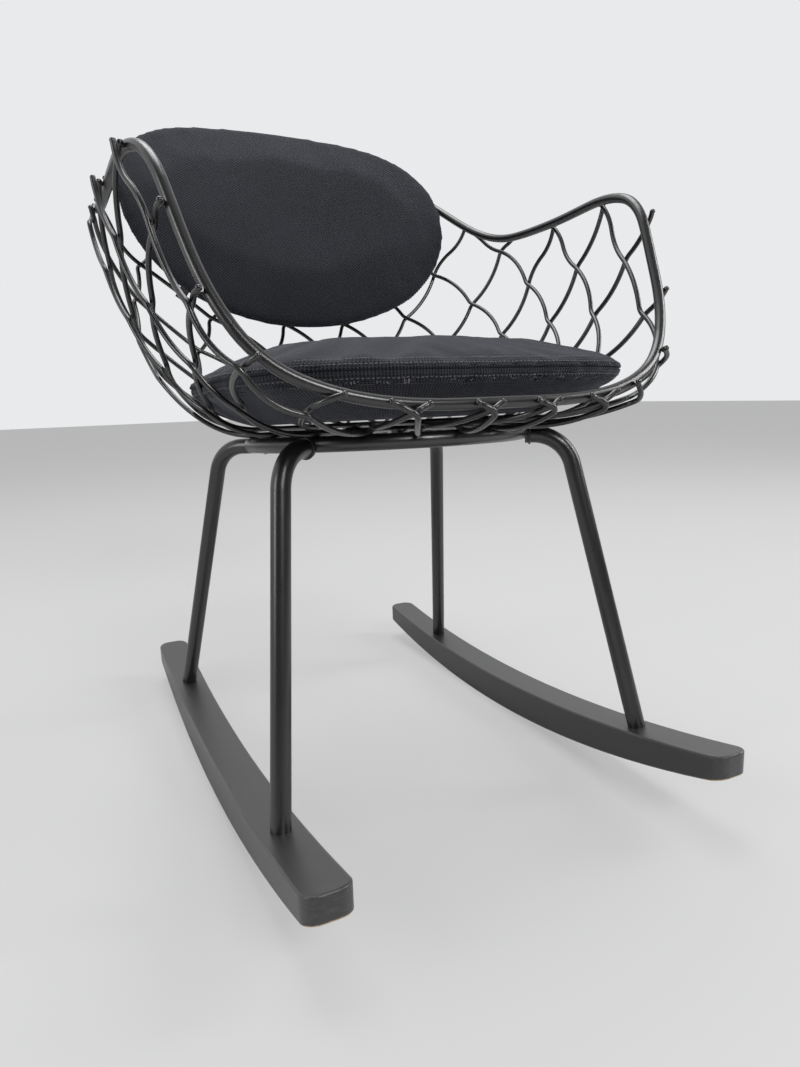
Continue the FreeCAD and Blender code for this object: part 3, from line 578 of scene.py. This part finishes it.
def make_seat():
    """The seat cushion with its seam groove and puckers, its rings, and which ring is the seam."""
    groove_deep, groove_wide, groove_from = 2.6, 1.3, 190
    pucker_deep, pucker_reach, pucker_from, pucker_count = 0.45, 9.0, 185, 61
    side_from, side_round = 203, 0.2045
    coarse = seat_rings(*seat_section(COARSE_STEP), COARSE_TURNS)
    surface = swollen("seat", coarse, seat_grip, pressure=3.0, cap=0.0145, slack=0.010,
                      smoothing=5)
    section = sewn_section()
    lengths = [0.0]
    for first, second in zip(section, section[1:]):
        lengths.append(lengths[-1] + math.dist(first, second))
    rings, layout = [], []
    back = seat_place.inverted()
    for row, (radius, height) in enumerate(section):
        from_seam = height - SEAM_LEVEL
        groove = math.exp(-(from_seam / groove_wide) ** 2) if radius > groove_from else 0.0
        puckers = math.exp(-(from_seam / pucker_reach) ** 2) if radius > pucker_from else 0.0
        ring = []
        turns = 1 if row in (0, len(section) - 1) else SKIN_TURNS
        for turn in range(turns):
            angle = 2 * math.pi * turn / SKIN_TURNS
            round_way = Vector((math.cos(angle), math.sin(angle), 0.0))
            outward = section_way(section, row, round_way)
            out = radius * fullness(angle, radius)
            level = seam_rise(angle, height)
            plain = seat_place @ (round_way * out * MM + Vector((0, 0, level * MM)))
            local = back @ draped_onto(surface, plain, seat_place.to_3x3() @ outward)
            wave = math.sin(angle * pucker_count + 1.3 * math.sin(angle * 7)) * pucker_deep
            local -= outward * (groove * groove_deep + wave * puckers) * MM
            ring.append(seat_place @ local)
            if radius > side_from or height < SEAM_LEVEL:
                layout.append((angle * side_round, lengths[row] * MM))
            else:
                layout.append((local.x, local.y))
        rings.append(ring)
    piece = skin_piece("seat_cushion_knit", rings, layout, knit)
    seam_row = min((row for row in range(len(section)) if section[row][0] > groove_from),
                   key=lambda row: abs(section[row][1] - SEAM_LEVEL))
    return piece, rings, seam_row


# Geometry Nodes: a rounded bead on every point, for stitches, wire tips and welds

def open_tree(name, sizes):
    """A tree with a geometry and named sizes coming in: its bench, their fields, the sizes' ids."""
    tree = bpy.data.node_groups.new(name, "GeometryNodeTree")
    tree.interface.new_socket(name="Source", in_out="INPUT", socket_type="NodeSocketGeometry")
    ids = []
    for label, value in sizes:
        socket = tree.interface.new_socket(name=label, in_out="INPUT",
                                           socket_type="NodeSocketFloat")
        socket.default_value = value
        ids.append(socket.identifier)
    tree.interface.new_socket(name="Beads", in_out="OUTPUT", socket_type="NodeSocketGeometry")
    bench = Bench(tree)
    source = bench.node("NodeGroupInput")
    return bench, [Field(bench, source.outputs[place]) for place in range(1 + len(sizes))], ids


def close_tree(bench, points, way, width, depth, roundness, finish):
    """Lays a rounded bead on every point, turned along its way, and ends the tree."""
    segments, rings = roundness
    turn = bench.out("FunctionNodeAlignRotationToVector", {"axis": "Z"}, Vector=way)
    bead = bench.out("GeometryNodeMeshUVSphere", None, Segments=segments, Rings=rings, Radius=0.5)
    size = bench.out("ShaderNodeCombineXYZ", None, X=width, Y=width, Z=depth)
    laid = bench.out("GeometryNodeInstanceOnPoints", None, Points=points, Instance=bead,
                     Rotation=turn, Scale=size)
    real = bench.out("GeometryNodeRealizeInstances", None, Geometry=laid)
    smooth = bench.out("GeometryNodeSetShadeSmooth", None, Geometry=real)
    end = bench.out("GeometryNodeSetMaterial", None, Geometry=smooth, Material=finish)
    bench.tree.links.new(end.socket, bench.node("NodeGroupOutput").inputs[0])


def grown(piece, tree_and_ids, *sizes):
    """The piece after a tree has run on it with these sizes, as a plain mesh."""
    tree, ids = tree_and_ids
    growing = piece.modifiers.new("growing", "NODES")
    growing.node_group = tree
    for identifier, size in zip(ids, sizes):
        growing[identifier] = size
    return baked(piece)


def stitch_tree(finish):
    """Resamples a seam line and lays one thread on each step."""
    bench, (seam, pitch, long, thick), ids = open_tree("seam_stitches", (
        ("Stitch pitch", 0.0042), ("Stitch length", 0.0031), ("Thread thickness", 0.0009)))
    line = bench.out("GeometryNodeMeshToCurve", None, Mesh=seam)
    steps = bench.out("GeometryNodeResampleCurve", {"mode": "LENGTH"}, Curve=line, Length=pitch)
    along = bench.out("GeometryNodeInputTangent")
    close_tree(bench, steps, along, thick, long, (6, 5), finish)
    return bench.tree, ids


def bead_tree(finish):
    """Puts one small rounded bead on every point, turned along its way."""
    bench, (points, wide, deep), ids = open_tree("rounded_beads", (
        ("Bead width", 0.005), ("Bead depth", 0.004)))
    cloud = bench.out("GeometryNodeMeshToPoints", None, Mesh=points)
    way = bench.out("GeometryNodeInputNamedAttribute", {"data_type": "FLOAT_VECTOR"}, Name="way")
    close_tree(bench, cloud, way, wide, deep, (14, 9), finish)
    return bench.tree, ids


# Stitches: short threads along a closed seam

def skin_way(rings, row, turn):
    """Outwards from a skin at a point of its rings, away from its poles."""
    ring = rings[row]
    along = ring[(turn + 1) % len(ring)] - ring[turn - 1]
    before, after = [near[turn if len(near) > 1 else 0]
                     for near in (rings[row - 1], rings[row + 1])]
    return along.cross(after - before).normalized()


def lifted(rings, row, lift):
    """A ring of points a little off the skin."""
    return [point + skin_way(rings, row, turn) * lift for turn, point in enumerate(rings[row])]


def seam_line(name, loops, tree_and_ids, pitch, long, thick):
    """One piece with a row of stitches along each closed loop of points."""
    points, edges = [], []
    for loop in loops:
        first = len(points)
        points += loop
        edges += [(first + at, first + (at + 1) % len(loop)) for at in range(len(loop))]
    mesh = bpy.data.meshes.new(name)
    mesh.from_pydata(points, edges, [])
    return grown(linked(name, mesh), tree_and_ids, pitch, long, thick)


STITCH_LIFT = 0.0002
stitches = stitch_tree(thread)
seat, seat_lines, seam_row = make_seat()
seat_sewing = [lifted(seat_lines, seam_row + rows, STITCH_LIFT) for rows in (4, -4)]
seat_stitches = seam_line("seat_seam_stitches", seat_sewing, stitches, pitch=0.0042,
                          long=0.0031, thick=0.0010)
for piece in (seat, seat_stitches):
    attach(piece, "seat_cushion")
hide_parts("seat_cover", "seat_foam")


# Back cushion, in millimetres: an oval pad bowed round the sitter's back

LEAN = math.radians(28.8)
back_place = Matrix((
    (1.0, 0.0, 0.0, 0.0),
    (0.0, math.sin(LEAN), -math.cos(LEAN), 0.250),
    (0.0, math.cos(LEAN), math.sin(LEAN), 0.656),
    (0.0, 0.0, 0.0, 1.0)))
BACK_WIDE, BACK_HIGH, BACK_END = 229.0, 165.0, 151.0
FRONT_BOW, FRONT_DEEP = 680.0, 22.0
REAR_BOW, REAR_DEEP = 567.0, 22.0


def oval_reach(angle):
    """Distance from the oval's middle to its edge: four arcs that meet smoothly."""
    offset = BACK_WIDE - BACK_END
    long = (BACK_HIGH ** 2 + offset ** 2 - BACK_END ** 2) / (2 * (BACK_HIGH - BACK_END))
    way = Vector((abs(math.cos(angle)), abs(math.sin(angle))))
    for centre, radius in ((Vector((offset, 0.0)), BACK_END),
                           (Vector((0.0, BACK_HIGH - long)), long)):
        ahead = way.dot(centre)
        reach = ahead + math.sqrt(max(0.0, ahead ** 2 - centre.length_squared + radius ** 2))
        touch = way * reach
        on_end = touch.y < (long - BACK_HIGH) * (touch.x / offset - 1.0)
        if (radius == BACK_END) == on_end:
            return reach
    return reach


def back_point(angle, share, side):
    """A point of the plain back cushion: share of the way to its edge, on its front or its back."""
    reach = oval_reach(angle) * share
    x, y = reach * math.cos(angle), reach * math.sin(angle)
    front = FRONT_DEEP + FRONT_BOW - math.sqrt(FRONT_BOW ** 2 - x * x)
    rear = REAR_BOW - REAR_DEEP - math.sqrt(REAR_BOW ** 2 - x * x)
    edge = min(1.0, max(0.0, 1.0 - share) * 5.2)
    fat = math.sqrt(max(0.0, 1.0 - (1.0 - edge) ** 2)) * (0.86 + 0.14 * (1.0 - share ** 2))
    half = max((front - rear) / 2, 1.0) * fat
    return Vector((x, y, (front + rear) / 2 + side * half)) * MM


def back_shares(step_out, fine):
    """Shares of the way to the edge: even steps, then ever finer ones up to the seam."""
    shares = [0.0]
    while shares[-1] < 0.86:
        shares.append(shares[-1] + step_out)
    left = 1.0 - shares[-1]
    return shares + [1.0 - left * (1.0 - place / fine) ** 1.7 for place in range(1, fine + 1)]


def back_rings(shares, turns):
    """Rings of points over the front, then the back, and each point's angle, share and side."""
    where = []
    for side, row in ((1, shares), (-1, shares[-2::-1])):
        for share in row:
            angles = [2 * math.pi * turn / turns for turn in range(turns)] if share else [0.0]
            where.append([(angle, share, side) for angle in angles])
    rings = [[back_place @ back_point(*facts) for facts in ring] for ring in where]
    return rings[::-1], where[::-1]


def back_grip(point):
    """The back cushion's cloth is held at its edge seam and against the wires behind it."""
    local = back_place.inverted() @ point
    angle = math.atan2(local.y, local.x)
    share = math.hypot(local.x, local.y) / (oval_reach(angle) * MM)
    middle = back_point(angle, min(share, 1.0), 0)
    if share > 0.975 and abs(local.z - middle.z) < 0.005:
        return 1.0
    if local.z < middle.z and share < 0.97:
        return 0.75
    return 0.0


def make_back():
    """The back cushion with its edge seam drawn in, and its rings."""
    groove_deep, groove_wide = 1.2, 1.1
    coarse, _ = back_rings(back_shares(step_out=0.045, fine=7), 140)
    surface = swollen("back", coarse, back_grip, pressure=2.0, cap=0.008, slack=0.0,
                      smoothing=14)
    rings, where = back_rings(back_shares(step_out=0.022, fine=16), SKIN_TURNS)
    shaped, layout = [], []
    for row, (ring, facts) in enumerate(zip(rings, where)):
        line = []
        for turn, (point, (angle, share, side)) in enumerate(zip(ring, facts)):
            if len(ring) == 1:
                outward = back_place.to_3x3() @ Vector((0, 0, side))
            else:
                outward = skin_way(rings, row, turn)
            placed = draped_onto(surface, point, outward, reach=0.018)
            edge = (1.0 - share) * oval_reach(angle)
            groove = math.exp(-((edge + (0 if side < 0 else 1.2)) / groove_wide) ** 2)
            line.append(placed - outward * groove * groove_deep * MM)
            plain = back_point(angle, share, side)
            layout.append((plain.x * side, plain.y + plain.z * 0.4))
        shaped.append(line)
    return skin_piece("back_cushion_twill", shaped, layout, twill), shaped


back, back_lines = make_back()
edge_row = len(back_lines) // 2
back_sewing = [lifted(back_lines, edge_row - 3, STITCH_LIFT)]
back_stitches = seam_line("back_seam_stitches", back_sewing, stitches, pitch=0.0046,
                          long=0.0034, thick=0.0009)
for piece in (back, back_stitches):
    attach(piece, "basket_frame")
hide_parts("back_cover", "back_foam")


# Ties: webbing loops with eased edges

def make_ties():
    work = solid_of("back_cushion_ties")
    bmesh.ops.dissolve_limit(work, angle_limit=math.radians(1.0), verts=work.verts,
                             edges=work.edges)
    mesh = bpy.data.meshes.new("back_tie_straps")
    work.to_mesh(mesh)
    work.free()
    mesh.materials.append(webbing)
    piece = linked("back_tie_straps", mesh)
    ease = piece.modifiers.new("eased", "BEVEL")
    ease.width = 0.0004
    ease.segments = 2
    ease.limit_method = "ANGLE"
    return baked(piece)


ties = make_ties()
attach(ties, "basket_frame")
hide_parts("back_cushion_ties")


# Wire tips: a rounded end and a dab of weld where each wire meets the rim

WIRE_END_REACH, WIRE_RUN_REACH, CAP_DEEP = 0.0056, 0.030, 0.0004
TIP_WIDE, TIP_DEEP = 0.0053, 0.0046
WELD_WIDE, WELD_DEEP, WELD_REACH = 0.0042, 0.0066, 0.006


def wire_end(node, rim_surface):
    """The middle of a wire's free end at the rim, its way out, and the rim's nearest point."""
    points = [vertex.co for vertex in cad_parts[node].data.vertices]
    top = max(points, key=lambda point: point.z)
    near = [point for point in points if (point - top).length < WIRE_END_REACH]
    wider = [point for point in points if (point - top).length < WIRE_RUN_REACH]
    way = (sum(near, Vector()) / len(near) - sum(wider, Vector()) / len(wider)).normalized()
    reach = max(point.dot(way) for point in near)
    cap = [point for point in near if point.dot(way) > reach - CAP_DEEP]
    low, high = [Vector([pick(point[axis] for point in cap) for axis in range(3)])
                 for pick in (min, max)]
    end = (low + high) / 2
    return end, way, rim_surface.find_nearest(end)[0]


def beads(name, places, tree_and_ids, wide, deep):
    """One piece with a bead at each place, turned along its way."""
    mesh = bpy.data.meshes.new(name)
    mesh.from_pydata([point for point, _ in places], [], [])
    ways = mesh.attributes.new("way", "FLOAT_VECTOR", "POINT")
    for at, (_, way) in enumerate(places):
        ways.data[at].vector = way
    piece = grown(linked(name, mesh), tree_and_ids, wide, deep)
    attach(piece, "basket_frame")
    return piece


rim_work = solid_of("rim")
rim_surface = BVHTree.FromBMesh(rim_work)
rim_work.free()
tips, dabs = [], []
for node in sorted(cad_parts):
    if "_wire_" in node:
        end, way, touch = wire_end(node, rim_surface)
        tips.append((end - way * CAP_DEEP, way))
        across = touch - end
        if across.length < WELD_REACH:
            dabs.append((end + across * 0.55 - way * 0.0030, way))
beads("wire_tips", tips, bead_tree(tip_coat), TIP_WIDE, TIP_DEEP)
beads("wire_end_welds", dabs, bead_tree(weld_coat), WELD_WIDE, WELD_DEEP)


# Studio

def studio_stuff(name, shade, seen):
    """Plain pale stuff, lit as its own shade; the camera alone sees it part glowing."""
    stuff = Finish(name, Base_Color=grey(shade), Roughness=0.9, Specular_IOR_Level=0.1)
    camera = Field(stuff, stuff.node("ShaderNodeLightPath").outputs["Is Camera Ray"])
    glow = stuff.node("ShaderNodeEmission", None, Color=grey(seen), Strength=1.0)
    mix = stuff.node("ShaderNodeMixShader", None, Fac=camera * 0.55)
    stuff.tree.links.new(stuff.shader.outputs[0], mix.inputs[1])
    stuff.tree.links.new(glow.outputs[0], mix.inputs[2])
    stuff.tree.links.new(mix.outputs[0], stuff.end.inputs[0])
    return stuff.material


FLOOR_HALF = 14
floor_mesh = bpy.data.meshes.new("studio_floor")
floor_mesh.from_pydata([(x * FLOOR_HALF, y * FLOOR_HALF, 0)
                        for x, y in ((-1, -1), (1, -1), (1, 1), (-1, 1))], [], [(0, 1, 2, 3)])
floor_mesh.materials.append(studio_stuff("pale_floor", 0.62, 0.72))
linked("studio_floor", floor_mesh)


def area_light(name, place, target, wide, high, power):
    """A rectangular lamp that faces its target: metres and watts."""
    lamp = bpy.data.lights.new(name, "AREA")
    lamp.shape = "RECTANGLE"
    lamp.size = wide
    lamp.size_y = high
    lamp.energy = power
    holder = linked(name, lamp)
    holder.location = place
    holder.rotation_euler = (Vector(target) - Vector(place)).to_track_quat("-Z", "Y").to_euler()


area_light("window_front", (0.3, -3.2, 2.6), (0.0, 0.0, 0.45), 1.3, 1.0, 70.0)
area_light("window_right", (2.9, -1.0, 1.9), (0.0, 0.0, 0.45), 0.8, 1.7, 46.0)
area_light("window_left", (-3.1, -0.4, 1.6), (0.0, 0.0, 0.45), 0.6, 1.9, 26.0)
area_light("ceiling", (0.1, 0.7, 3.0), (0.0, 0.0, 0.4), 1.8, 1.8, 44.0)

room = bpy.data.worlds.new("pale_room")
room.use_nodes = True
air = Bench(room.node_tree)
room.node_tree.nodes.clear()
path = air.node("ShaderNodeLightPath")
seen = Field(air, path.outputs["Is Camera Ray"])
mirrored = Field(air, path.outputs["Is Glossy Ray"])
ways = air.node("ShaderNodeSeparateXYZ", None,
                Vector=air.out("ShaderNodeTexCoord", port="Generated"))
beyond = air.out("ShaderNodeMapRange", {"interpolation_type": "SMOOTHSTEP"},
                 Value=Field(air, ways.outputs[1]), From_Min=-0.35, From_Max=0.45,
                 To_Min=0.10, To_Max=0.80)
level = seen * 0.84 + mirrored * beyond + (1.0 - seen - mirrored) * 0.26
sky = air.node("ShaderNodeBackground", None, Color=(0.97, 0.98, 1.0, 1.0), Strength=level)
air.tree.links.new(sky.outputs[0], air.node("ShaderNodeOutputWorld").inputs[0])
chair_scene.world = room


# Camera at the photograph's place, worked out from the picture: angles, and pixels of focal length

YAW, PITCH, ROLL = 0.44582, -0.19144, -0.032205
FOCAL_PIXELS, PHOTO_HIGH = 725.05, 1067.0
ahead = Vector((math.sin(YAW) * math.cos(PITCH), math.cos(YAW) * math.cos(PITCH), math.sin(PITCH)))
level_right = Vector((math.cos(YAW), -math.sin(YAW), 0.0))
level_up = level_right.cross(ahead)
right = math.cos(ROLL) * level_right + math.sin(ROLL) * level_up
up = math.cos(ROLL) * level_up - math.sin(ROLL) * level_right
lens = bpy.data.cameras.new("photo_camera")
lens.sensor_fit = "AUTO"
lens.sensor_width = 36.0
lens.lens = FOCAL_PIXELS / PHOTO_HIGH * lens.sensor_width
lens.clip_start = 0.02
photo_camera = linked("photo_camera", lens)
photo_camera.matrix_world = Matrix((
    (right.x, up.x, -ahead.x, -0.3359),
    (right.y, up.y, -ahead.y, -0.7930),
    (right.z, up.z, -ahead.z, 0.4210),
    (0.0, 0.0, 0.0, 1.0)))
chair_scene.camera = photo_camera
chair_scene.view_settings.view_transform = "Standard"
